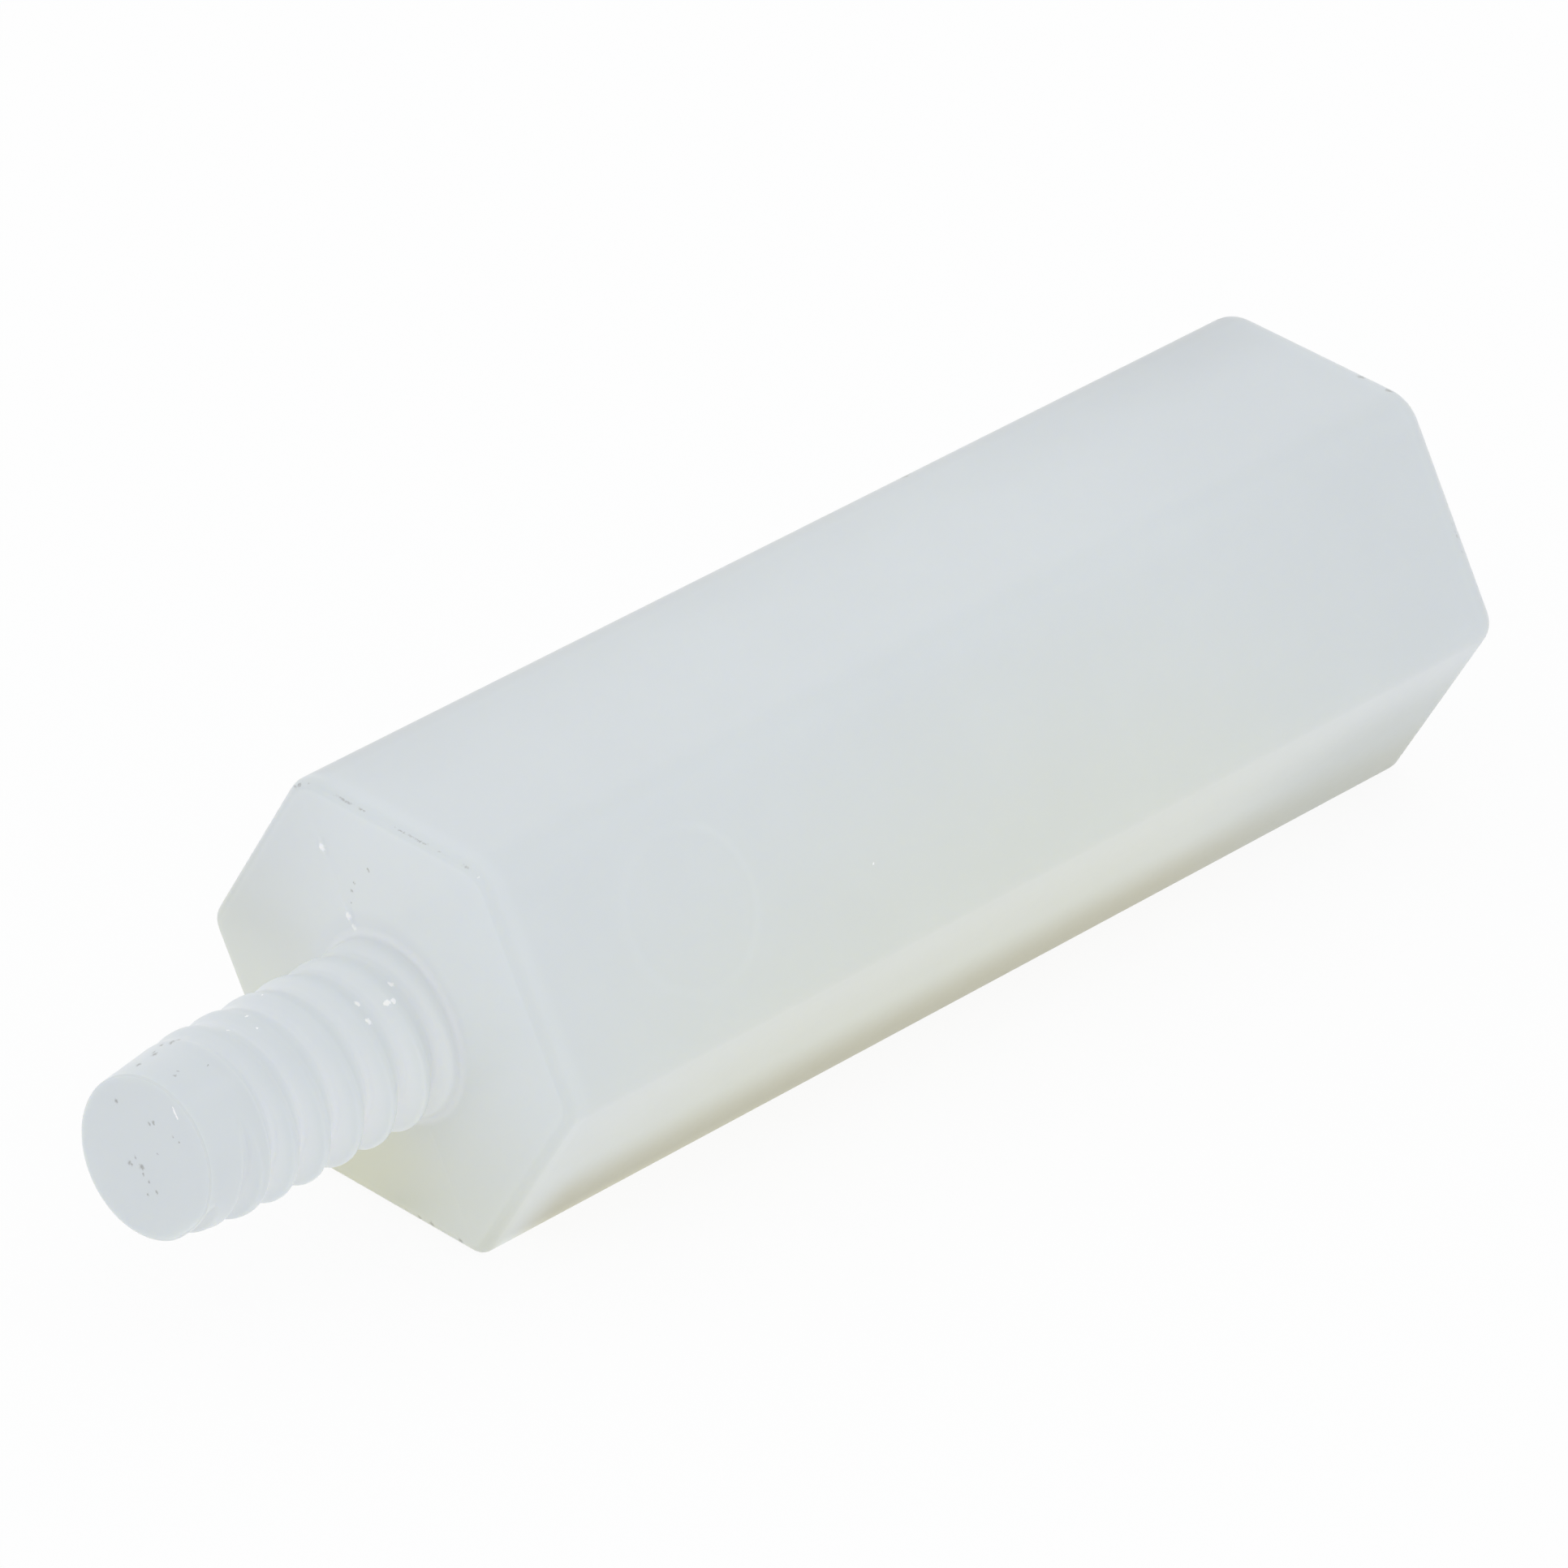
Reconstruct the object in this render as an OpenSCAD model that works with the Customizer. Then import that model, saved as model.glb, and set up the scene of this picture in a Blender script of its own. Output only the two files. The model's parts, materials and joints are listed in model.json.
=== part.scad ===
// Male-female hex standoff, moulded in one piece.
// The stud is plain at its crest diameter and the hole is plain at its minor diameter.
// The axis lies along X: the stud points to -X and the tapped hole opens to +X.
// The part lies on one flat, and the origin is the middle of the shoulder face.

/* [Hexagonal body] */
// Width across the flats
across_flats = 6.35; // [5.5:0.05:10]
// Length from the shoulder to the tapped end
body_length = 19.05; // [14:0.05:60]
// Radius of the six long edges
long_edge_radius = 0.35; // [0.1:0.05:0.8]
// Radius of the edge round the shoulder face
shoulder_edge_radius = 0.15; // [0.05:0.05:0.4]
// Radius of the edge round the tapped end
tapped_edge_radius = 0.35; // [0.05:0.05:0.6]

/* [Thread of the stud and the hole] */
// Nominal diameter
thread_diameter = 2.845; // [2:0.005:3.6]
// Pitch
thread_pitch = 0.635; // [0.4:0.005:0.8]
// How much smaller than nominal the stud's crests are, on the diameter
crest_allowance = 0.125; // [0:0.005:0.2]

/* [Stud] */
// Length from the shoulder to the tip
stud_length = 4.84; // [3:0.02:14]
// Length of the tapered lead that ends at the tip
lead_length = 1.4; // [0.3:0.1:2]
// How far the lead tapers in below the crests, on the radius
lead_depth = 0.16; // [0.05:0.01:0.35]
// Radius of the edge round the tip
tip_edge_radius = 0.04; // [0.02:0.01:0.15]

/* [Tapped hole] */
// Depth at full diameter
hole_depth = 9.5; // [4:0.1:11]
// Angle of the point at the bottom of the hole
point_angle = 118; // [90:1:140]
// Depth of the countersink at the mouth, which opens at 45 degrees
countersink_depth = 0.4; // [0.1:0.05:0.6]

/* [Hidden] */
$fn = 96;
corners = 6;
step = 360 / corners;
// How far the stud's core reaches into the body
root_depth = 1;
// How far a cut runs past the face that it opens on
past = 1;
// Depth of a 60 degree internal thread, as a share of its pitch
inner_depth_share = 0.5413;
stud_radius = (thread_diameter - crest_allowance) / 2;
hole_radius = thread_diameter / 2 - inner_depth_share * thread_pitch;
body_color = "#D5DADD";

// Hexagon with rounded corners, with flats above and below
module rounded_hexagon(flats, corner_radius) {
    side = (flats - 2 * corner_radius) * tan(step / 2);
    for (turn = [0 : step : 180 - step]) {
        rotate(turn) square([side, flats], center = true);
    }
    for (turn = [0 : step : 360 - step]) {
        rotate(turn) translate([side, 0]) circle(corner_radius);
    }
}

// Rectangle standing on the Y axis, with one corner radius at its start and another at its far end
module rounded_rectangle(length, width, start_radius, far_radius) {
    half = width / 2;
    polygon([
        [0, half - start_radius],
        [start_radius, half],
        [length - far_radius, half],
        [length, half - far_radius],
        [length, far_radius - half],
        [length - far_radius, -half],
        [start_radius, -half],
        [0, start_radius - half]
    ]);
    for (side = [-1, 1]) {
        translate([start_radius, side * (half - start_radius)]) circle(start_radius);
        translate([length - far_radius, side * (half - far_radius)]) circle(far_radius);
    }
}

// Bar along X whose long faces are two opposite flats and whose end edges are rounded
module flat_pair() {
    rotate([90, 0, 0]) {
        linear_extrude(2 * across_flats, center = true) {
            rounded_rectangle(
                body_length, across_flats, shoulder_edge_radius, tapped_edge_radius
            );
        }
    }
}

// Hexagonal bar with rounded long edges and rounded end edges
module hex_body() {
    intersection() {
        rotate([90, 0, 90]) {
            linear_extrude(body_length) rounded_hexagon(across_flats, long_edge_radius);
        }
        flat_pair();
        rotate([step, 0, 0]) flat_pair();
        rotate([2 * step, 0, 0]) flat_pair();
    }
}

// Stud turned about X, with a tapered lead and a rounded tip
module stud() {
    tip_radius = stud_radius - lead_depth;
    rotate([0, -90, 0]) {
        rotate_extrude() {
            polygon([
                [0, -root_depth],
                [stud_radius, -root_depth],
                [stud_radius, stud_length - lead_length],
                [tip_radius, stud_length - tip_edge_radius],
                [tip_radius - tip_edge_radius, stud_length],
                [0, stud_length]
            ]);
            translate([tip_radius - tip_edge_radius, stud_length - tip_edge_radius]) {
                circle(tip_edge_radius);
            }
        }
    }
}

// Blind hole for the female thread, with its countersink and its conical bottom
module tapped_hole() {
    point_depth = hole_radius / tan(point_angle / 2);
    translate([body_length, 0, 0]) {
        rotate([0, -90, 0]) {
            rotate_extrude() {
                polygon([
                    [0, -past],
                    [hole_radius + countersink_depth + past, -past],
                    [hole_radius, countersink_depth],
                    [hole_radius, hole_depth],
                    [0, hole_depth + point_depth]
                ]);
            }
        }
    }
}

module standoff() {
    color(body_color) {
        difference() {
            union() {
                hex_body();
                stud();
            }
            tapped_hole();
        }
    }
}

standoff();
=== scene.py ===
import json
import math
import random

import bmesh
import bpy
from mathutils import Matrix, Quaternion, Vector, noise


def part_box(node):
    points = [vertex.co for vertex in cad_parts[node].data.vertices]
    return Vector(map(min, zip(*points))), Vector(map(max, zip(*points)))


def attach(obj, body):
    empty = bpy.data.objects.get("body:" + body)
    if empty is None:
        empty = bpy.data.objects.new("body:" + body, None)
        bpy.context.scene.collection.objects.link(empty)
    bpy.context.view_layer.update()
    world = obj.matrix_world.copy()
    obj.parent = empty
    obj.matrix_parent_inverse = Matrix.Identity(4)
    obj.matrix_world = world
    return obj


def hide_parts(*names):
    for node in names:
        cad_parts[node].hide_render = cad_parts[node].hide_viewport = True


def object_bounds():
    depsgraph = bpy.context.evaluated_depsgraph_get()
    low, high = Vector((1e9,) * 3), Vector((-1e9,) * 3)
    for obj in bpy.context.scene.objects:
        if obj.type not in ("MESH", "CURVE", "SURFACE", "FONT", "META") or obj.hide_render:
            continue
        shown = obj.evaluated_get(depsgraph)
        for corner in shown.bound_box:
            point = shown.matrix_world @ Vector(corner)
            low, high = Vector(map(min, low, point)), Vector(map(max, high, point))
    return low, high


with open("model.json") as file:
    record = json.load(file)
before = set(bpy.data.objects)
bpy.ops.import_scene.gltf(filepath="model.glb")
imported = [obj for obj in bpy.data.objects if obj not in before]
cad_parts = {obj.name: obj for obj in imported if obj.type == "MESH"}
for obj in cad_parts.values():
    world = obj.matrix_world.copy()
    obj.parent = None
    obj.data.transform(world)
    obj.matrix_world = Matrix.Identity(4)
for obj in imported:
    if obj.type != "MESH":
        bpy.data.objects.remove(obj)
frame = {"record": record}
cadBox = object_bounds()
low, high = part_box("standoff")
mounts = {mount["name"]: mount for mount in frame["record"]["mounts"]}
mm = 0.001
print("frame loaded, box in mm", [round(v / mm, 2) for v in (*low, *high)])

# angles run round the axis from +Y towards +Z, and edge 0 is the one at +Y
hexBody = {
    "flats": high.z - low.z,
    "length": high.x,
    "edgeRadii": (0.37 * mm, 0.70 * mm, 0.67 * mm, 0.43 * mm, 0.32 * mm, 0.38 * mm),
    "shoulderEdge": 0.17 * mm,
    "tappedEdge": 0.36 * mm,
    "partingAngle": math.radians(60),  # the mould parts along edges 1 and 4
    "draft": math.radians(0.4),  # both ends fall away from the parting plane
    "sink": 0.008 * mm,  # how far the middle of a flat sinks in
    "edgeSteps": 8,
    "flatSteps": 13,
    "markedFlatSteps": 38,
    "shoulderRows": 26,
    "sideRows": 40,
    "markRows": 34,
}
flash = {
    "height": 0.02 * mm,
    "width": 0.05 * mm,
    "flakes": ((2.57, 0.06), (1.53, 0.05), (1.34, 0.04)),  # reach from the axis and height, in mm
    "flakeWidth": 0.06 * mm,
    "seed": 4.0,
}
ejectorMark = {
    "flat": math.radians(150),
    "centre": Vector((3.22, -2.77, 1.60)) * mm,
    "radius": 1.16 * mm,
    "depth": 0.022 * mm,
    "rim": 0.16 * mm,
}
thread = {
    "pitch": 0.635 * mm,
    "start": 0.53,  # the turn at which a crest passes the shoulder
    "depth": 0.6134,  # of a pitch
    "innerDepth": 0.5413,
    "deepFocus": 3.0,  # the higher, the narrower the side on which the thread is at its full depth
    "limitBlend": 0.03 * mm,
}
stud = {
    "radius": mounts["stud"]["dims"]["r_mm"] * mm,
    "length": -low.x,
    "leadLength": 1.35 * mm,
    "leadDepth": 0.155 * mm,
    "crestShare": 0.16,
    "rootShare": 0.18,
    "softness": 0.22,
    "tipEdge": 0.03 * mm,
    "tipSlant": (-0.073, 0.10),  # how far the tip face leans back per mm of y and z
    "tipShort": 0.15 * mm,  # how much shorter the middle of the tip is than its far rim
    "fadeLength": 1.0 * mm,  # the thread grows shallow towards the tip
    "plainRoot": 0.45 * mm,  # and towards the shoulder
    "unevenness": 0.85,  # and on the side that lies along edge 1, by this share of its depth
    "lowKeep": 0.85,  # while on the side of edge 4 it runs on to the tip
    "rootFillet": 0.08 * mm,
    "drift": 0.15 * mm,  # the moulded stud sits this far off the hexagon's axis, in the parting plane
    "lean": math.radians(0.46),
    "rowsPerPitch": 24,
}
holeMouth = hexBody["length"] - mounts["tapped_hole"]["pos_m"][0]
hole = {
    "radius": mounts["tapped_hole"]["dims"]["r_mm"] * mm,
    "depth": mounts["tapped_hole"]["dims"]["length_mm"] * mm + holeMouth,
    "countersink": holeMouth,
    "crestShare": 0.25,
    "rootShare": 0.12,
    "softness": 0.12,
    "pointAngle": math.radians(118),
    "rowsPerPitch": 13,
}


class Wire:
    # one socket of a node tree, so that maths on sockets reads as maths
    def __init__(self, tree, socket):
        self.tree = tree
        self.socket = socket

    def maths(self, operation, *others):
        values = dict(enumerate((self, *others)))
        return addNode(self.tree, "ShaderNodeMath", {"operation": operation}, values)

    def vector(self, operation, *others, out=0):
        values = dict(enumerate((self, *others)))
        return addNode(self.tree, "ShaderNodeVectorMath", {"operation": operation}, values, out)

    def output(self, name):
        return Wire(self.tree, self.socket.node.outputs[name])

    def __add__(self, other):
        return self.maths("ADD", other)

    def __sub__(self, other):
        return self.maths("SUBTRACT", other)

    def __rsub__(self, other):
        return self.maths("MULTIPLY_ADD", -1.0, other)

    def __mul__(self, other):
        return self.maths("MULTIPLY", other)

    def __truediv__(self, other):
        return self.maths("DIVIDE", other)

    def __abs__(self):
        return self.maths("ABSOLUTE")

    __radd__ = __add__
    __rmul__ = __mul__


def addNode(tree, kind, settings=None, sockets=None, out=0):
    node = tree.nodes.new(kind)
    for key, value in (settings or {}).items():
        setattr(node, key, value)
    for key, value in (sockets or {}).items():
        if isinstance(value, Wire):
            tree.links.new(value.socket, node.inputs[key])
        else:
            node.inputs[key].default_value = value
    return Wire(tree, node.outputs[out]) if node.outputs else None


def makeThreadTree():
    tree = bpy.data.node_groups.new("rolledThread", "GeometryNodeTree")
    names = ("Pitch", "Start", "Crest Radius", "Root Radius", "Crest Share", "Root Share", "Softness",
             "Side", "Limit Radius", "Limit Slope", "Run In", "Fade Start", "Fade End", "Deep Angle",
             "Unevenness", "Low Keep")
    tree.interface.new_socket("Geometry", in_out="INPUT", socket_type="NodeSocketGeometry")
    for name in names:
        tree.interface.new_socket(name, in_out="INPUT", socket_type="NodeSocketFloat")
    tree.interface.new_socket("Material", in_out="INPUT", socket_type="NodeSocketMaterial")
    tree.interface.new_socket("Geometry", in_out="OUTPUT", socket_type="NodeSocketGeometry")
    given = addNode(tree, "NodeGroupInput")
    sheetPlace = addNode(tree, "GeometryNodeInputPosition")
    along = addNode(tree, "ShaderNodeSeparateXYZ", sockets={0: sheetPlace})
    turn = along.output("Y")
    reach = along.output("Z")
    pitch = given.output("Pitch")
    side = given.output("Side")
    crest = given.output("Crest Radius")
    root = given.output("Root Radius")
    crestShare = given.output("Crest Share")
    softness = given.output("Softness")

    # how far each point lies from the nearest crest, from 0 to 1
    phase = along / pitch - turn / math.tau - given.output("Start") + 0.5
    fromCrest = abs(phase.maths("FRACT") - 0.5) * 2
    height = 1 - (fromCrest - crestShare) / (1 - crestShare - given.output("Root Share"))
    height = height.maths("SMOOTH_MIN", 1.0, softness).maths("SMOOTH_MAX", 0.0, softness)
    fade = addNode(tree, "ShaderNodeMapRange", {"interpolation_type": "SMOOTHSTEP"}, {
        "Value": reach, "From Min": given.output("Fade Start"), "From Max": given.output("Fade End")})
    runIn = addNode(tree, "ShaderNodeMapRange", {"interpolation_type": "SMOOTHSTEP"}, {
        "Value": reach, "From Min": given.output("Run In"), "From Max": 0.0})
    facing = (turn - given.output("Deep Angle")).maths("COSINE") * 0.5 + 0.5
    deep = facing.maths("POWER", thread["deepFocus"])
    shallow = given.output("Unevenness") * (1 - deep)
    fade = (fade * (1 - deep * given.output("Low Keep"))).maths("MAXIMUM", runIn)
    height = 1 - (1 - height) * (1 - shallow) * (1 - fade)

    # the crests stop at the lead or the countersink
    radius = root + (crest - root) * height
    limit = given.output("Limit Radius") + given.output("Limit Slope") * reach
    radius = side * (side * radius).maths("SMOOTH_MIN", side * limit, thread["limitBlend"])
    point = addNode(tree, "ShaderNodeCombineXYZ", sockets={
        0: along, 1: radius * turn.maths("COSINE"), 2: radius * turn.maths("SINE")})
    rolled = addNode(tree, "GeometryNodeSetPosition", sockets={"Geometry": given, "Position": point})
    solid = addNode(tree, "GeometryNodeRealizeInstances", sockets={"Geometry": rolled})
    dressed = addNode(tree, "GeometryNodeSetMaterial", sockets={
        "Geometry": solid, "Material": given.output("Material")})
    addNode(tree, "NodeGroupOutput", sockets={"Geometry": dressed})
    return tree


def rollThread(tree, reaches, places, values, spokes, material):
    # a flat sheet of rows and spokes is rolled into a threaded wall, which comes back as rows of points
    count = len(spokes)
    points = [(place, angle, reach) for place, reach in zip(places, reaches) for angle in spokes]
    faces = [(r * count + s, r * count + s + 1, (r + 1) * count + s + 1, (r + 1) * count + s)
             for r in range(len(reaches) - 1) for s in range(count - 1)]
    mesh = bpy.data.meshes.new("threadSheet")
    mesh.from_pydata(points, [], faces)
    sheet = bpy.data.objects.new("threadSheet", mesh)
    bpy.context.scene.collection.objects.link(sheet)
    modifier = sheet.modifiers.new("thread", "NODES")
    modifier.node_group = tree
    inputs = {item.name: item.identifier for item in tree.interface.items_tree if item.in_out == "INPUT"}
    for name, value in values.items():
        modifier[inputs[name]] = float(value)
    modifier[inputs["Material"]] = material
    wall = bpy.data.meshes.new_from_object(sheet.evaluated_get(bpy.context.evaluated_depsgraph_get()))
    rolled = [vertex.co.copy() for vertex in wall.vertices]
    bpy.data.objects.remove(sheet)
    bpy.data.meshes.remove(wall)
    return [rolled[i * count:(i + 1) * count] for i in range(len(reaches))]


def cornerHalfAngle(radius):
    centre = (hexBody["flats"] / 2 - radius) / math.cos(math.pi / 6)
    return math.atan2(radius / 2, centre + radius * math.cos(math.pi / 6))


def spokeAngles():
    # the lines that run from the tip to the bottom of the hole, closer together round the edges
    angles = []
    sixth = math.pi / 3
    for edge in range(6):
        half = cornerHalfAngle(hexBody["edgeRadii"][edge])
        nextHalf = cornerHalfAngle(hexBody["edgeRadii"][(edge + 1) % 6])
        steps = hexBody["edgeSteps"]
        angles += [edge * sixth - half + 2 * half * i / steps for i in range(steps)]
        start = edge * sixth + half
        end = (edge + 1) * sixth - nextHalf
        marked = abs((edge + 0.5) * sixth - ejectorMark["flat"]) < 0.1
        steps = hexBody["markedFlatSteps"] if marked else hexBody["flatSteps"]
        angles += [start + (end - start) * i / steps for i in range(steps)]
    return angles


def hexRadius(angle, inset=0.0):
    # distance from the axis to the hexagon's wall, drawn in by the inset
    sixth = math.pi / 3
    radius = hexBody["edgeRadii"][round(angle / sixth) % 6]
    apothem = hexBody["flats"] / 2
    centre = (apothem - radius) / math.cos(sixth / 2)
    fromEdge = (angle + sixth / 2) % sixth - sixth / 2
    rounded = radius - inset
    half = math.atan2(rounded / 2, centre + rounded * math.cos(sixth / 2))
    if abs(fromEdge) < half:
        beside = centre * math.sin(fromEdge)
        return centre * math.cos(fromEdge) + math.sqrt(max(0, rounded ** 2 - beside ** 2))
    return (apothem - inset) / math.cos(sixth / 2 - abs(fromEdge))


def atRadius(x, angle, radius):
    return Vector((x, radius * math.cos(angle), radius * math.sin(angle)))


def partingDistance(point):
    return -point.y * math.sin(hexBody["partingAngle"]) + point.z * math.cos(hexBody["partingAngle"])


def endFall(point):
    # how far an end face has fallen away from its highest line at this point
    soft = 0.06 * mm
    return (math.hypot(partingDistance(point), soft) - soft) * math.tan(hexBody["draft"])


def flashRise(point):
    # the uneven line of flash that the mould leaves across the shoulder, with a few flakes on it
    away = partingDistance(point) / flash["width"]
    if abs(away) > 3:
        return 0
    reach = math.hypot(point.y, point.z)
    side = 1 if point.z > 0 else 0.6
    uneven = 0.5 + 0.5 * noise.noise(Vector((reach / mm * 3.1, flash["seed"], 0)))
    rise = flash["height"] * side * uneven * math.exp(-away * away)
    for place, height in flash["flakes"]:
        near = (reach - place * mm) / flash["flakeWidth"]
        if point.z > 0:
            rise += height * mm * math.exp(-near * near - away * away)
    return rise


def drifted(point):
    away = stud["drift"] - point.x * math.tan(stud["lean"])
    turn = hexBody["partingAngle"] + math.pi
    return point + Vector((0, math.cos(turn), math.sin(turn))) * away


def ease(value):
    value = min(1, max(0, value))
    return value * value * (3 - 2 * value)


def moulded(point, angle):
    # a long flat sinks a little in its middle, and the ejector pin leaves a round mark on one of them
    sixth = math.pi / 3
    fromEdge = abs((angle + sixth / 2) % sixth - sixth / 2) / (sixth / 2)
    along = min(1, point.x / (2 * mm), (hexBody["length"] - point.x) / (2 * mm))
    depth = hexBody["sink"] * ease(fromEdge) * max(0, along)
    flatAngle = (math.floor(angle / sixth) + 0.5) * sixth
    normal = Vector((0, math.cos(flatAngle), math.sin(flatAngle)))
    if abs(flatAngle - ejectorMark["flat"]) < 0.1:
        away = point - ejectorMark["centre"]
        away = (away - normal * away.dot(normal)).length
        depth += ejectorMark["depth"] * ease((ejectorMark["radius"] - away) / ejectorMark["rim"] + 0.5)
    return point - normal * depth


def threadRows(spokes, material):
    tree = makeThreadTree()
    pitch = thread["pitch"]
    steps = round(stud["length"] / pitch * stud["rowsPerPitch"])
    last = stud["length"] - stud["tipEdge"]
    reaches = [last * i / steps for i in range(steps + 1)]
    slope = -stud["leadDepth"] / stud["leadLength"]
    outer = rollThread(tree, reaches, [-reach for reach in reaches], {
        "Pitch": pitch, "Start": thread["start"], "Crest Radius": stud["radius"],
        "Root Radius": stud["radius"] - thread["depth"] * pitch, "Crest Share": stud["crestShare"],
        "Root Share": stud["rootShare"], "Softness": stud["softness"], "Side": 1,
        "Limit Radius": stud["radius"] - slope * (stud["length"] - stud["leadLength"]),
        "Limit Slope": slope, "Run In": stud["plainRoot"],
        "Fade Start": stud["length"] - stud["fadeLength"], "Fade End": stud["length"],
        "Deep Angle": hexBody["partingAngle"] + math.pi,
        "Unevenness": stud["unevenness"], "Low Keep": stud["lowKeep"],
    }, spokes, material)
    fillet = stud["rootFillet"]
    for reach, row in zip(reaches, outer):
        if reach < fillet:
            flare = fillet - math.sqrt(fillet ** 2 - (fillet - reach) ** 2)
            for point in row:
                radius = math.hypot(point.y, point.z)
                point.yz = (point.y * (1 + flare / radius), point.z * (1 + flare / radius))

    steps = round(hole["depth"] / pitch * hole["rowsPerPitch"])
    reaches = [hole["depth"] * i / steps for i in range(steps + 1)]
    inner = rollThread(tree, reaches, [hexBody["length"] - reach for reach in reaches], {
        "Pitch": pitch, "Start": thread["start"], "Crest Radius": hole["radius"],
        "Root Radius": hole["radius"] + thread["innerDepth"] * pitch, "Crest Share": hole["crestShare"],
        "Root Share": hole["rootShare"], "Softness": hole["softness"], "Side": -1,
        "Limit Radius": hole["radius"] + hole["countersink"], "Limit Slope": -1, "Run In": 0.01 * mm,
        "Fade Start": hole["depth"] - 1.5 * pitch, "Fade End": hole["depth"] - pitch,
        "Deep Angle": 0, "Unevenness": 0, "Low Keep": 0,
    }, spokes, material)
    print("threads rolled,", len(outer), "rows outside and", len(inner), "inside")
    return outer, inner


# painted light and shade: how hidden a point is from the light, from 0 in the open to 1 deep in a groove,
# where the colour is painted lighter against the shade there; below 0 is the opposite, an edge or crest,
# painted darker
paintedLightShares = {
    "tipEdge": -0.08,
    "shoulderEdge": -0.038,
    "tappedEdge": -0.07,
    "partingEdge": -0.11,  # painted shade along the long edge where the mould parts
    "partingWidth": 0.42 * mm,
    "wall": 0.25,  # painted light by the wall across the start of a thread
    "groove": 0.7,
    "crest": 0.06,
    "byStud": 0.25,
    "holeBottom": 0.5,
}


def paintedLightInThread(row, crestRadius, depth, reach, length):
    # the share of the light hidden by the thread's own walls and by the wall across its start, painted back
    # as light, less some painted shade on the crests
    ledge = hexBody["flats"] / 2 - stud["radius"]
    wall = paintedLightShares["wall"] * (1 - reach / math.hypot(reach, ledge))
    crest = paintedLightShares["crest"] * ease(reach / mm) * ease((length - reach) / mm - 0.4)
    shares = []
    for point in row:
        groove = min(1, max(0, abs(crestRadius - math.hypot(point.y, point.z)) / depth))
        open = (1 - paintedLightShares["groove"] * groove) * (1 - wall)
        shares.append(1 - open - crest * ease(1 - groove / 0.3))
    return shares


# painted light on the shoulder round the stud, where the stud's shade falls
def paintedLightByStud(row):
    reaches = [math.hypot(p.y, p.z) for p in row]
    return [paintedLightShares["byStud"] * math.asin(min(1, stud["radius"] * 0.8 / reach)) for reach in reaches]


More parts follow.
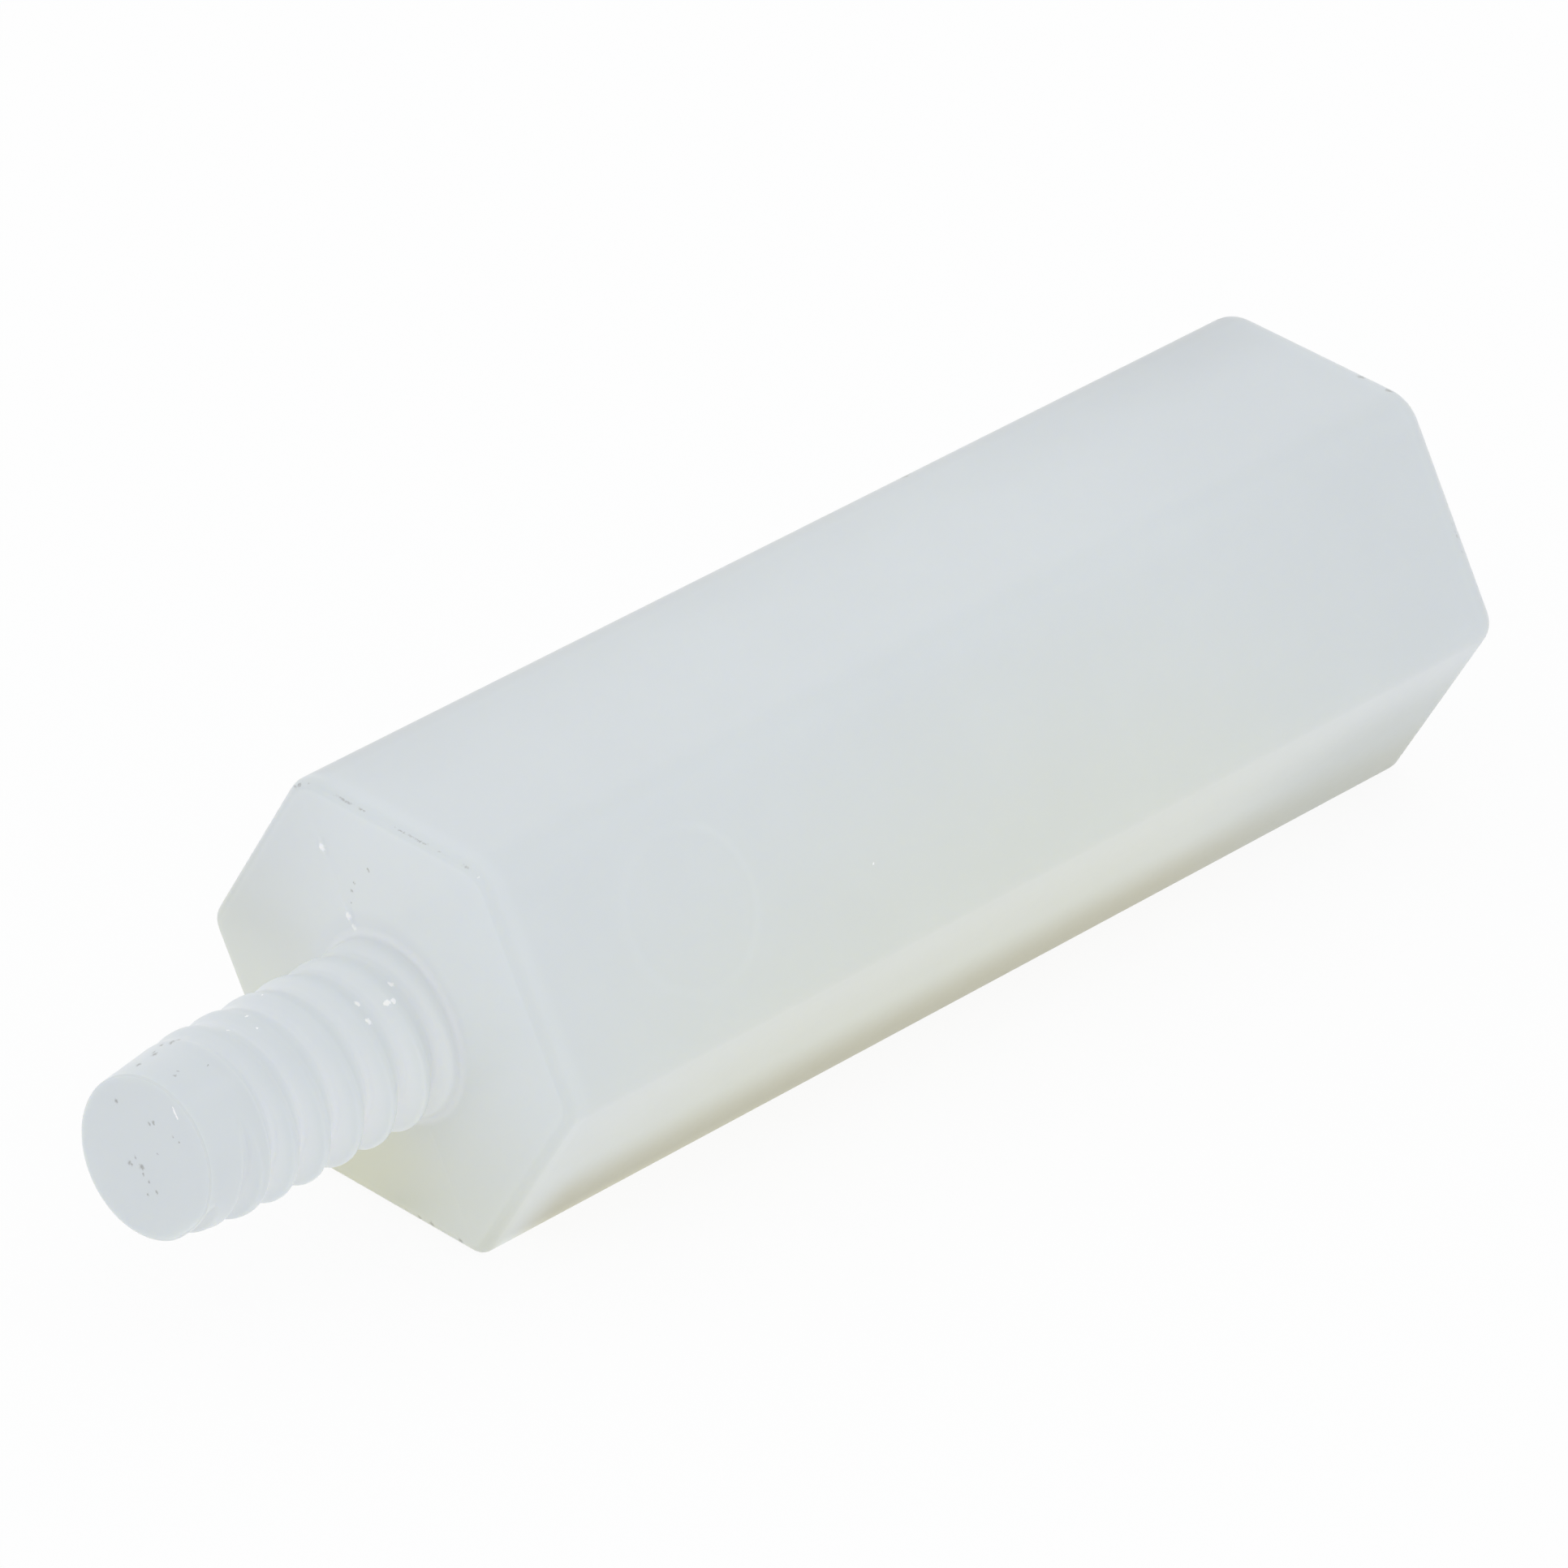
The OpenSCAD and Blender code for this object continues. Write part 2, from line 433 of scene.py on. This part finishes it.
def buildRows(spokes, material):
    # rows of points from the tip of the stud to the bottom of the hole, with the painted light or shade at
    # each point, and the two end points
    outer, inner = threadRows(spokes, material)
    studGroove = thread["depth"] * thread["pitch"]
    holeGroove = thread["innerDepth"] * thread["pitch"]
    length = hexBody["length"]
    tip = -stud["length"]
    edge = stud["tipEdge"]
    rim = [math.hypot(p.y, p.z) for p in outer[-1]]
    rows = [[atRadius(tip, a, (r - edge) * share) for a, r in zip(spokes, rim)]
            for share in (0.12, 0.3, 0.5, 0.66, 0.8, 0.92, 0.97, 1.0)]
    for i in range(1, 5):
        bend = i / 5 * math.pi / 2
        rows.append([atRadius(tip + edge * (1 - math.cos(bend)), a, r - edge * (1 - math.sin(bend)))
                     for a, r in zip(spokes, rim)])
    paintedLight = [[0] * len(spokes) for row in rows[:-4]]
    paintedLight += [[paintedLightShares["tipEdge"]] * len(spokes) for row in rows[-4:]]
    rows += outer[::-1]
    for row in outer[::-1]:
        reach = -row[0].x
        lead = stud["leadDepth"] * max(0, 1 - (stud["length"] - reach) / stud["leadLength"])
        paintedLight.append(paintedLightInThread(row, stud["radius"] - lead, studGroove, reach, stud["length"]))
    # the tip is cut off a little out of square, and the last rows follow it
    for row in rows:
        for point in row:
            back = stud["tipShort"] + point.y * stud["tipSlant"][0] + point.z * stud["tipSlant"][1]
            point.x += back * ease((-point.x - stud["length"] / 2) / (stud["length"] / 2))
    rows = [[drifted(p) for p in row] for row in rows]

    # shoulder
    edge = hexBody["shoulderEdge"]
    for point in rows[-1]:
        point.x = endFall(point)
    rootRow = rows[-1]
    steps = hexBody["shoulderRows"]
    for i in range(1, steps + 1):
        row = [p.lerp(atRadius(0, a, hexRadius(a, edge)), i / steps) for p, a in zip(rootRow, spokes)]
        for point in row:
            point.x = endFall(point) - (flashRise(point) if 1 < i < steps else 0)
        rows.append(row)
        paintedLight.append(paintedLightByStud(row))
    for i in range(1, 7):
        bend = i / 6 * math.pi / 2
        row = [atRadius(0, a, hexRadius(a, edge * (1 - math.sin(bend)))) for a in spokes]
        rows.append([p + Vector((endFall(p) + edge * (1 - math.cos(bend)), 0, 0)) for p in row])
        paintedLight.append([paintedLightShares["shoulderEdge"] * math.sin(math.pi * i / 7)] * len(spokes))
    # painted shade along the parting edges, full on edge 1 and a tenth of it on edge 4
    along = [paintedLightShares["partingEdge"] * (1 if p.z > 0 else 0.1)
             * ease(1 - abs(partingDistance(p)) / paintedLightShares["partingWidth"]) for p in rows[-1]]

    # long sides, with more rows where the ejector mark is
    nearRow = rows[-1]
    farEdge = hexBody["tappedEdge"]
    farRow = [atRadius(length - farEdge, a, hexRadius(a)) for a in spokes]
    for point in farRow:
        point.x -= endFall(point)
    reach = ejectorMark["radius"] + ejectorMark["rim"]
    markStart = ejectorMark["centre"].x - reach
    places = [0.3 * mm + (markStart - 0.3 * mm) * i / 6 for i in range(6)]
    places += [markStart + 2 * reach * i / hexBody["markRows"] for i in range(hexBody["markRows"])]
    markEnd = markStart + 2 * reach
    places += [markEnd + (length - farEdge - 0.1 * mm - markEnd) * i / hexBody["sideRows"]
               for i in range(hexBody["sideRows"] + 1)]
    for place in places:
        share = (place - edge) / (length - farEdge - edge)
        row = [p.lerp(q, share) for p, q in zip(nearRow, farRow)]
        rows.append([moulded(p, a) for p, a in zip(row, spokes)])
        paintedLight.append(along)
    rows.append(farRow)
    paintedLight.append(along)

    # tapped end
    for i in range(1, 8):
        bend = i / 7 * math.pi / 2
        row = [atRadius(length, a, hexRadius(a, farEdge * (1 - math.cos(bend)))) for a in spokes]
        rows.append([p - Vector((endFall(p) + farEdge * (1 - math.sin(bend)), 0, 0)) for p in row])
        paintedLight.append([paintedLightShares["tappedEdge"] * math.sin(math.pi * i / 8)] * len(spokes))
    outerRow = rows[-1]
    for point in inner[0]:
        point.x = length - endFall(point)
    for i in range(1, 10):
        row = [p.lerp(q, i / 10) for p, q in zip(outerRow, inner[0])]
        for point in row:
            point.x = length - endFall(point)
        rows.append(row)
    paintedLight += [[0] * len(spokes) for row in rows[len(paintedLight):]]
    for row in inner:
        reach = length - row[0].x
        shares = paintedLightInThread(row, hole["radius"], holeGroove, reach, hole["depth"])
        inside = ease(reach / (3 * hole["countersink"]))
        paintedLight.append([share * inside for share in shares])
    rows += inner
    pointDepth = hole["radius"] / math.tan(hole["pointAngle"] / 2)
    bottom = length - hole["depth"]
    for share in (0.25, 0.5, 0.75, 0.93):
        radius = hole["radius"] * (1 - share)
        rows.append([atRadius(bottom - pointDepth * share, a, radius) for a in spokes])
    paintedLight += [[paintedLightShares["holeBottom"]] * len(spokes) for row in rows[len(paintedLight):]]
    ends = (drifted(Vector((tip + stud["tipShort"], 0, 0))), Vector((bottom - pointDepth, 0, 0)))
    return rows, paintedLight, ends


def skin(name, rows, paintedLight, ends, material):
    # joins the rows into one closed mesh, with a fan at each end
    made = bmesh.new()
    rings = [[made.verts.new(p) for p in row] for row in rows]
    count = len(rings[0])
    for near, far in zip(rings, rings[1:]):
        for s in range(count):
            t = (s + 1) % count
            made.faces.new((near[s], near[t], far[t], far[s]))
    for ring, end in ((rings[0], ends[0]), (rings[-1][::-1], ends[1])):
        middle = made.verts.new(end)
        for s in range(count):
            made.faces.new((middle, ring[(s + 1) % count], ring[s]))
    bmesh.ops.recalc_face_normals(made, faces=made.faces)
    for face in made.faces:
        face.smooth = True
    mesh = bpy.data.meshes.new(name)
    made.to_mesh(mesh)
    made.free()
    mesh.set_sharp_from_angle(angle=math.radians(38))
    paintedLightLayer = mesh.attributes.new("paintedLight", "FLOAT", "POINT")
    paintedLightLayer.data.foreach_set("value", [share for row in paintedLight for share in row]
                                  + [0.0, paintedLightShares["holeBottom"]])
    mesh.materials.append(material)
    piece = bpy.data.objects.new(name, mesh)
    bpy.context.scene.collection.objects.link(piece)
    return piece


nylonLook = {
    "skyTint": (0.683, 0.721, 0.743),
    "amberTint": (0.69, 0.705, 0.585),  # yellower in the middle and low down, partly the plastic's own tone and partly painted shade
    "shadeTint": (0.46, 0.44, 0.295),  # painted shade low down, towards the floor
    # painted shade at the lower far end
    "farShadeTint": (0.47, 0.505, 0.46),
    "underStudShadeTint": (0.61, 0.60, 0.37),  # painted shade on the shoulder under the stud
    "dirtTint": (0.16, 0.145, 0.12),
    # painted glints
    "paintedGlintTint": (0.98, 0.99, 0.99),
    "roughness": 0.30,
    "ior": 1.53,
    "scatter": 0.1 * mm,
    "scatterShares": (1.0, 0.95, 0.75),
    # painted light in grooves and hollows leans towards this tint; painted shade darkens the edges
    "paintedLightGain": 1.2,
    "paintedLightTint": (0.98, 0.99, 1.0),
    "unevenRoughness": 0.08,
    "dirtRoughness": 0.3,
    "bump": 0.25,
    "bumpHeight": 0.01 * mm,
}
# how strongly each tone is laid on: "amber" is partly the plastic's own tone and partly painted shade,
# "shade", "far" and the "under" tones are painted shade, and the pale marks are painted glints; from
# "level" on they are painted light and shade that make a place lighter or darker, but for "cloud", a random
# tone
tone = {
    "amber": 0.74,
    "amberAllRound": 0.05,
    "amberBand": 0.08,
    "shade": 0.82,
    "shadeLostFar": 0.3,
    "far": 0.5,
    "underStud": 0.36,
    "underSide": 0.21,
    "underMiddle": 0.03,
    "dirt": 0.5,
    "dashes": 0.75,
    "paintedGlints": 0.95,
    "level": 0.98,
    "cloud": 0.03,
    "shoulder": 0.045,
    "shoulderBeside": -0.09,
    "studLow": 0.035,
    "studTip": -0.006,
    "sideMiddle": 0.02,
    "topNear": -0.035,
    "highNear": -0.01,
    "farEnd": -0.02,
    "topFar": -0.04,
    "bottomEdge": 0.24,
    "markRim": 0.004,
    "markRimFar": 0.016,
}
# each group is a count, a start, an end, how far its marks stray, the largest size and a seed,
# in mm; on the stud a place is a distance along it and an angle in degrees
dirtAndGlints = {
    "tipSpecks": (
        (9, (0.3, -0.2), (-0.4, -0.6), (0.2, 0.12), 0.055, 2),
        (6, (0.6, 0.6), (-0.8, 0.1), (0.15, 0.25), 0.04, 5),
    ),
    "studSpecks": (
        (8, (-3.6, 66), (-4.5, 68), (0.05, 4.0), 0.07, 1),
        (3, (-4.3, 94), (-3.6, 108), (0.05, 4.0), 0.035, 4),
    ),
    # painted glints on the stud's crests
    "studPaintedGlints": (
        (6, (-0.3, 112), (-1.4, 130), (0.25, 8.0), 0.07, 3),
        (4, (-2.0, 85), (-3.9, 115), (0.2, 15.0), 0.045, 7),
    ),
    "specks": (
        (4, (0.0, 0.1, 2.6), (0.0, 0.9, 1.4), (0.0, 0.15, 0.2), 0.045, 6),
        (3, (0.02, -0.6, -3.06), (0.03, -1.5, -3.06), (0.0, 0.1, 0.01), 0.08, 3),
        (5, (0.05, 1.6, 3.12), (0.03, 1.9, 2.92), (0.02, 0.04, 0.02), 0.045, 2),
        (2, (11.6, 1.75, 3.05), (12.5, 1.75, 3.05), (0.2, 0.0, 0.0), 0.12, 8),
        (2, (18.78, 0.0, 3.15), (18.78, -1.6, 3.15), (0.0, 0.1, 0.0), 0.09, 5),
        (4, (18.8, -2.7, 1.53), (18.8, -3.0, 1.01), (0.0, 0.0, 0.0), 0.09, 4),
    ),
    "flakePaintedGlint": 0.08,  # the size of the painted glint at each flake of the flash
    # painted glints, each a place in mm and a size
    "paintedGlints": ((6.5, -3.05, 1.05, 0.03), (0.05, -1.75, 3.05, 0.025)),
    # dashes of dirt along the shoulder's upper edge: from, to and a width
    "edgeDashes": ((1.2, 0.5, 0.024), (-0.1, -1.35, 0.018), (-1.35, -1.6, 0.034)),
    # a painted glint across the tip: from, to and a width
    "tipPaintedGlint": ((0.0, -0.54, 0.80), (0.0, -0.63, 0.68), 0.022),
    "ragged": 0.08,
    "studShift": (0, 0.085, 0.15),  # brings the stud's own axis to the middle
}


def strew(groups):
    # marks strewn along a line, the same each run
    marks = []
    for count, start, end, stray, size, seed in groups:
        draw = random.Random(seed)
        for i in range(count):
            share = draw.random()
            place = [a + (b - a) * share + draw.uniform(-s, s) for a, b, s in zip(start, end, stray)]
            marks.append((*place, size * draw.uniform(0.5, 1.0)))
    return marks


def mixColour(tree, factor, first, second):
    return addNode(tree, "ShaderNodeMix", {"data_type": "RGBA"}, {0: factor, 6: first, 7: second}, 2)


def scaled(vector, factor):
    sockets = {0: vector, "Scale": factor}
    return addNode(vector.tree, "ShaderNodeVectorMath", {"operation": "SCALE"}, sockets)


def smooth(tree, value, start, end):
    return addNode(tree, "ShaderNodeMapRange", {"interpolation_type": "SMOOTHSTEP"}, {
        "Value": value, "From Min": start, "From Max": end})


def nearestSpot(place, spots):
    # 0 in the middle of the nearest spot, 1 at its rim
    nearest = None
    for *centre, size in spots:
        away = place.vector("DISTANCE", centre, out=1) / size
        nearest = nearest.maths("MINIMUM", away) if nearest else away
    return nearest


def nearestLine(place, lines):
    nearest = None
    for start, end, width in lines:
        run = Vector(end) - Vector(start)
        fromStart = place.vector("SUBTRACT", start)
        share = fromStart.vector("DOT_PRODUCT", tuple(run / run.length_squared), out=1)
        share = share.maths("MAXIMUM", 0.0).maths("MINIMUM", 1.0)
        foot = addNode(place.tree, "ShaderNodeCombineXYZ", sockets={
            i: share * part for i, part in enumerate(run)})
        away = fromStart.vector("DISTANCE", foot, out=1) / width
        nearest = nearest.maths("MINIMUM", away) if nearest else away
    return nearest


def bodyColourAndShade(tree, x, z):
    # yellower towards the middle and low down, partly the plastic's own tone and partly painted shade, then
    # painted shade low down and at the lower far end
    midLength = smooth(tree, abs(x - 8.0), 11.0, 3.0)
    band = smooth(tree, abs(x - 9.5), 6.0, 0.0) * smooth(tree, abs(z - 1.5), 1.6, 0.8)
    amber = midLength * (tone["amberAllRound"] + tone["amber"] * smooth(tree, z, 3.0, -3.0))
    amber = amber + tone["amberBand"] * band
    colour = mixColour(tree, amber, (*nylonLook["skyTint"], 1), (*nylonLook["amberTint"], 1))
    farEnd = smooth(tree, x, 13.0, 17.5)
    shade = tone["shade"] * smooth(tree, z, -1.6, -2.9) * smooth(tree, x, 0.2, 1.4)
    shade = shade * (1 - tone["shadeLostFar"] * farEnd)
    colour = mixColour(tree, shade, colour, (*nylonLook["shadeTint"], 1))
    far = tone["far"] * farEnd * smooth(tree, z, -0.2, -1.7)
    return mixColour(tree, far, colour, (*nylonLook["farShadeTint"], 1))


def paintedUnderShade(tree, colour, place, y, z, wide, shoulder):
    # painted shade: the shoulder is darker and yellower under the stud and towards its lower side
    below = smooth(tree, place.vector("DISTANCE", (0.0, 0.9, -2.5), out=1), 2.6, 0.3)
    downwards = smooth(tree, 0.4 * y - 0.9 * z, -1.0, 2.2)
    underShade = tone["underStud"] * below + tone["underSide"] * downwards
    underShade = shoulder * (underShade + tone["underMiddle"] * smooth(tree, wide, 3.2, 2.0))
    return mixColour(tree, underShade.maths("MINIMUM", 1.0), colour, (*nylonLook["underStudShadeTint"], 1))


def paintedLightLevels(tree, place, x, y, z, shoulder):
    # painted light and shade: how much lighter or darker each place is made, apart from its colour, with a
    # faint random cloud of tone
    top = smooth(tree, z, 2.5, 3.1) * smooth(tree, y, 0.0, 1.9)
    beside = smooth(tree, y, 0.5, 2.8) * smooth(tree, z, -0.7, 0.6)
    level = tone["level"] + shoulder * (tone["shoulder"] + tone["shoulderBeside"] * beside)
    studLow = smooth(tree, x, 0.0, -0.1) * smooth(tree, z, 1.2, -0.8) * smooth(tree, x, -4.4, -3.2)
    level = level + tone["studLow"] * studLow + tone["studTip"] * smooth(tree, x, -3.2, -4.2)
    sideMiddle = smooth(tree, abs(x - 8.0), 11.0, 3.0) * smooth(tree, z, -1.6, -0.6)
    level = level + tone["sideMiddle"] * sideMiddle
    high = smooth(tree, z, 3.0, 3.15)
    level = level + smooth(tree, x, 0.0, 1.0) * (tone["topNear"] * top + tone["highNear"] * high)
    level = level + smooth(tree, x, 12.0, 18.0) * (tone["farEnd"] + tone["topFar"] * top)
    bottomEdge = smooth(tree, z, -2.8, -3.12) * smooth(tree, x, 9.0, 2.0) * smooth(tree, x, 0.1, 0.4)
    level = level + tone["bottomEdge"] * bottomEdge
    fromMark = place.vector("DISTANCE", tuple(ejectorMark["centre"] / mm), out=1)
    rim = smooth(tree, abs(fromMark - ejectorMark["radius"] / mm), 0.12, 0.0)
    level = level + rim * (tone["markRim"] + tone["markRimFar"] * smooth(tree, x, 3.0, 4.0))
    cloud = addNode(tree, "ShaderNodeTexNoise", sockets={"Vector": place, "Scale": 0.7, "Detail": 3.0})
    return level + tone["cloud"] * cloud


def dirtShare(tree, spots):
    return smooth(tree, spots, 1.1, 0.1)


def paintedGlintShare(tree, spots):
    return smooth(tree, spots, 1.0, 0.5)


def studSpots(around, groups):
    # marks on the stud are placed along it and round its side
    reach = stud["radius"] / mm
    return nearestSpot(around, [(far, math.radians(angle) * reach, 0, size)
                                for far, angle, size in strew(groups)])


def makeMarks(tree, place, x):
    # dirt with ragged outlines, and pale painted glints
    ragged = addNode(tree, "ShaderNodeTexNoise", sockets={
        "Vector": place, "Scale": 22.0, "Detail": 2.0}, out=1)
    ragged = scaled(ragged.vector("SUBTRACT", (0.5, 0.5, 0.5)), dirtAndGlints["ragged"])
    shaken = place.vector("ADD", ragged)
    dirt = dirtShare(tree, nearestSpot(shaken, strew(dirtAndGlints["specks"])))
    turn = hexBody["partingAngle"]
    flakePaintedGlints = [(-0.05, reach * math.cos(turn), reach * math.sin(turn), dirtAndGlints["flakePaintedGlint"])
                  for reach, height in flash["flakes"]]
    paintedGlints = paintedGlintShare(tree, nearestSpot(shaken, (*dirtAndGlints["paintedGlints"], *flakePaintedGlints)))

    # marks on the tip are placed across its face
    across = shaken.vector("MULTIPLY", (0, 1, 1))
    onTip = smooth(tree, x, -4.0, -4.2)
    tipDirt = nearestSpot(across, [(0, *speck) for speck in strew(dirtAndGlints["tipSpecks"])])
    dirt = dirt.maths("MAXIMUM", dirtShare(tree, tipDirt) * onTip)
    tipPaintedGlints = paintedGlintShare(tree, nearestLine(across, [dirtAndGlints["tipPaintedGlint"]]))
    paintedGlints = paintedGlints.maths("MAXIMUM", tipPaintedGlints * onTip)

    centred = place.vector("ADD", dirtAndGlints["studShift"])
    radial = addNode(tree, "ShaderNodeSeparateXYZ", sockets={0: centred})
    turn = radial.output("Z").maths("ARCTAN2", radial.output("Y"))
    around = addNode(tree, "ShaderNodeCombineXYZ", sockets={0: x, 1: turn * (stud["radius"] / mm)})
    around = around.vector("ADD", ragged).vector("MULTIPLY", (1, 1, 0))
    onSide = smooth(tree, centred.vector("MULTIPLY", (0, 1, 1)).vector("LENGTH", out=1), 1.05, 1.12)
    onSide = onSide * smooth(tree, x, 0.0, -0.1)
    studDirt = dirtShare(tree, studSpots(around, dirtAndGlints["studSpecks"]))
    dirt = dirt.maths("MAXIMUM", studDirt * onSide)
    studPaintedGlints = paintedGlintShare(tree, studSpots(around, dirtAndGlints["studPaintedGlints"]))
    paintedGlints = paintedGlints.maths("MAXIMUM", studPaintedGlints * onSide)

    breaks = addNode(tree, "ShaderNodeTexNoise", sockets={"Vector": place, "Scale": 5.0, "Detail": 2.0})
    inset = (1 - math.sqrt(0.5)) * hexBody["shoulderEdge"] / mm
    dashes = [((inset, start, high.z / mm - inset), (inset, end, high.z / mm - inset), width)
              for start, end, width in dirtAndGlints["edgeDashes"]]
    lines = smooth(tree, nearestLine(shaken, dashes), 1.0, 0.3) * smooth(tree, breaks, 0.36, 0.6)
    return dirt.maths("MAXIMUM", lines * tone["dashes"]) * tone["dirt"], paintedGlints


def makeNylon():
    material = bpy.data.materials.new("milkyNylon")
    material.use_nodes = True
    tree = material.node_tree
    tree.nodes.clear()
    place = scaled(addNode(tree, "ShaderNodeTexCoord").output("Object"), 1 / mm)
    x = addNode(tree, "ShaderNodeSeparateXYZ", sockets={0: place})
    y = x.output("Y")
    z = x.output("Z")
    wide = addNode(tree, "ShaderNodeCombineXYZ", sockets={1: y, 2: z}).vector("LENGTH", out=1)
    shoulder = smooth(tree, abs(x), 0.5, 0.1) * smooth(tree, wide, 1.45, 1.65)
    colour = paintedUnderShade(tree, bodyColourAndShade(tree, x, z), place, y, z, wide, shoulder)

    # painted light in the grooves, by the walls, round the stud and in the hole, and painted shade on the
    # edges and crests, so that neither shows as dark or as bright as on a solid colour; the level is
    # painted light and shade by place
    paintedLight = addNode(tree, "ShaderNodeAttribute", {"attribute_name": "paintedLight"}).output("Fac")
    paintedLightOrShade = paintedLight * nylonLook["paintedLightGain"]
    level = paintedLightLevels(tree, place, x, y, z, shoulder)
    colour = scaled(colour, level * (1 + paintedLightOrShade.maths("MINIMUM", 0.0)))
    paintedLightOrShade = paintedLightOrShade.maths("MAXIMUM", 0.0).maths("MINIMUM", 1.0)
    colour = mixColour(tree, paintedLightOrShade, colour, (*nylonLook["paintedLightTint"], 1))
    dirt, paintedGlints = makeMarks(tree, place, x)
    colour = mixColour(tree, dirt, colour, (*nylonLook["dirtTint"], 1))
    colour = mixColour(tree, paintedGlints * tone["paintedGlints"], colour, (*nylonLook["paintedGlintTint"], 1))

    # satin skin with a fine unevenness
    fine = addNode(tree, "ShaderNodeTexNoise", sockets={"Vector": place, "Scale": 5.0, "Detail": 4.0})
    bump = addNode(tree, "ShaderNodeBump", sockets={
        "Strength": nylonLook["bump"], "Distance": nylonLook["bumpHeight"], "Height": fine})
    roughness = nylonLook["roughness"] + nylonLook["unevenRoughness"] * (fine - 0.5)
    roughness = roughness + nylonLook["dirtRoughness"] * dirt
    skinShader = addNode(tree, "ShaderNodeBsdfPrincipled", sockets={
        "Base Color": colour, "Normal": bump, "Roughness": roughness, "IOR": nylonLook["ior"],
        "Subsurface Weight": 1.0, "Subsurface Radius": nylonLook["scatterShares"],
        "Subsurface Scale": nylonLook["scatter"]})
    addNode(tree, "ShaderNodeOutputMaterial", sockets={"Surface": skinShader})
    return material


studio = {
    "zenith": (0.94, 0.95, 0.96),
    "horizon": (1.08, 1.08, 1.08),
    "strength": 1.0,
    "floorTint": (0.92, 0.92, 0.92),
    "floorReach": 1.5,
    "floorGlow": 0.45,
    "seenGlow": 0.9,
    "lampPlace": (0.16, -0.17, 0.60),
    "lampAim": (0.007, 0, 0),
    "lampSize": 0.02,
    "lampPower": 0.06,
}


def seenShare(tree):
    # 1 where the white behind the object is seen, 0 where it gives light
    path = addNode(tree, "ShaderNodeLightPath")
    seen = path.output("Is Camera Ray") + path.output("Is Glossy Ray") + path.output("Is Transmission Ray")
    return seen.maths("MINIMUM", 1.0)


def makeFloor():
    material = bpy.data.materials.new("paleFloor")
    material.use_nodes = True
    tree = material.node_tree
    tree.nodes.clear()
    lit = addNode(tree, "ShaderNodeBsdfDiffuse", sockets={"Color": (*studio["floorTint"], 1)})
    white = addNode(tree, "ShaderNodeEmission", sockets={"Color": (1, 1, 1, 1), "Strength": 1.0})
    seen = seenShare(tree) * (studio["seenGlow"] - studio["floorGlow"]) + studio["floorGlow"]
    mixed = addNode(tree, "ShaderNodeMixShader", sockets={0: seen, 1: lit, 2: white})
    addNode(tree, "ShaderNodeOutputMaterial", sockets={"Surface": mixed})
    mesh = bpy.data.meshes.new("floor")
    reach = studio["floorReach"]
    mesh.from_pydata([(-reach, -reach, low.z), (reach, -reach, low.z), (reach, reach, low.z),
                      (-reach, reach, low.z)], [], [(0, 1, 2, 3)])
    mesh.materials.append(material)
    floor = bpy.data.objects.new("floor", mesh)
    bpy.context.scene.collection.objects.link(floor)


def makeSky():
    world = bpy.data.worlds.new("softStudio")
    bpy.context.scene.world = world
    world.use_nodes = True
    tree = world.node_tree
    tree.nodes.clear()
    direction = addNode(tree, "ShaderNodeTexCoord").output("Generated")
    height = addNode(tree, "ShaderNodeSeparateXYZ", sockets={0: direction}).output("Z")
    rise = smooth(tree, height, 0.0, 0.7)
    colour = mixColour(tree, rise, (*studio["horizon"], 1), (*studio["zenith"], 1))
    light = addNode(tree, "ShaderNodeBackground", sockets={"Color": colour, "Strength": studio["strength"]})
    white = addNode(tree, "ShaderNodeBackground", sockets={"Color": (1, 1, 1, 1), "Strength": 1.0})
    mixed = addNode(tree, "ShaderNodeMixShader", sockets={0: seenShare(tree), 1: light, 2: white})
    addNode(tree, "ShaderNodeOutputWorld", sockets={"Surface": mixed})


def makeLamp():
    # a small lamp that gives the crisp glints
    data = bpy.data.lights.new("glintLamp", "AREA")
    data.shape = "DISK"
    data.size = studio["lampSize"]
    data.energy = studio["lampPower"]
    place = Vector(studio["lampPlace"])
    lamp = bpy.data.objects.new("glintLamp", data)
    lamp.location = place
    lamp.rotation_mode = "QUATERNION"
    lamp.rotation_quaternion = (Vector(studio["lampAim"]) - place).to_track_quat("-Z", "Y")
    bpy.context.scene.collection.objects.link(lamp)


view = {
    "azimuth": math.radians(-45.465),
    "elevation": math.radians(31.482),
    "roll": math.radians(0.625),
    "distance": 187.564 * mm,
    "lens": 302.35,
    "aim": Vector((0.603, -0.093, 0.548)) * mm,  # from the middle of the box
}


def makeCamera():
    middle = (cadBox[0] + cadBox[1]) / 2
    level = math.cos(view["elevation"])
    back = Vector((math.sin(view["azimuth"]) * level, -math.cos(view["azimuth"]) * level,
                   math.sin(view["elevation"])))
    data = bpy.data.cameras.new("camera")
    data.lens = view["lens"]
    data.sensor_width = 36
    data.clip_start = 5 * mm
    data.clip_end = 10
    camera = bpy.data.objects.new("camera", data)
    camera.location = middle + view["aim"] + back * view["distance"]
    camera.rotation_mode = "QUATERNION"
    camera.rotation_quaternion = (-back).to_track_quat("-Z", "Y") @ Quaternion((0, 0, 1), view["roll"])
    bpy.context.scene.collection.objects.link(camera)
    bpy.context.scene.camera = camera


nylon = makeNylon()
spokes = spokeAngles()
rows, paintedLight, ends = buildRows(spokes, nylon)
standoff = skin("nylonStandoff", rows, paintedLight, ends, nylon)
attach(standoff, "root")
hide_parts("standoff")
print("standoff made,", len(standoff.data.polygons), "faces")

makeCamera()
makeFloor()
makeSky()
makeLamp()
bpy.context.scene.view_settings.view_transform = "Standard"
print("camera, floor and lights placed")
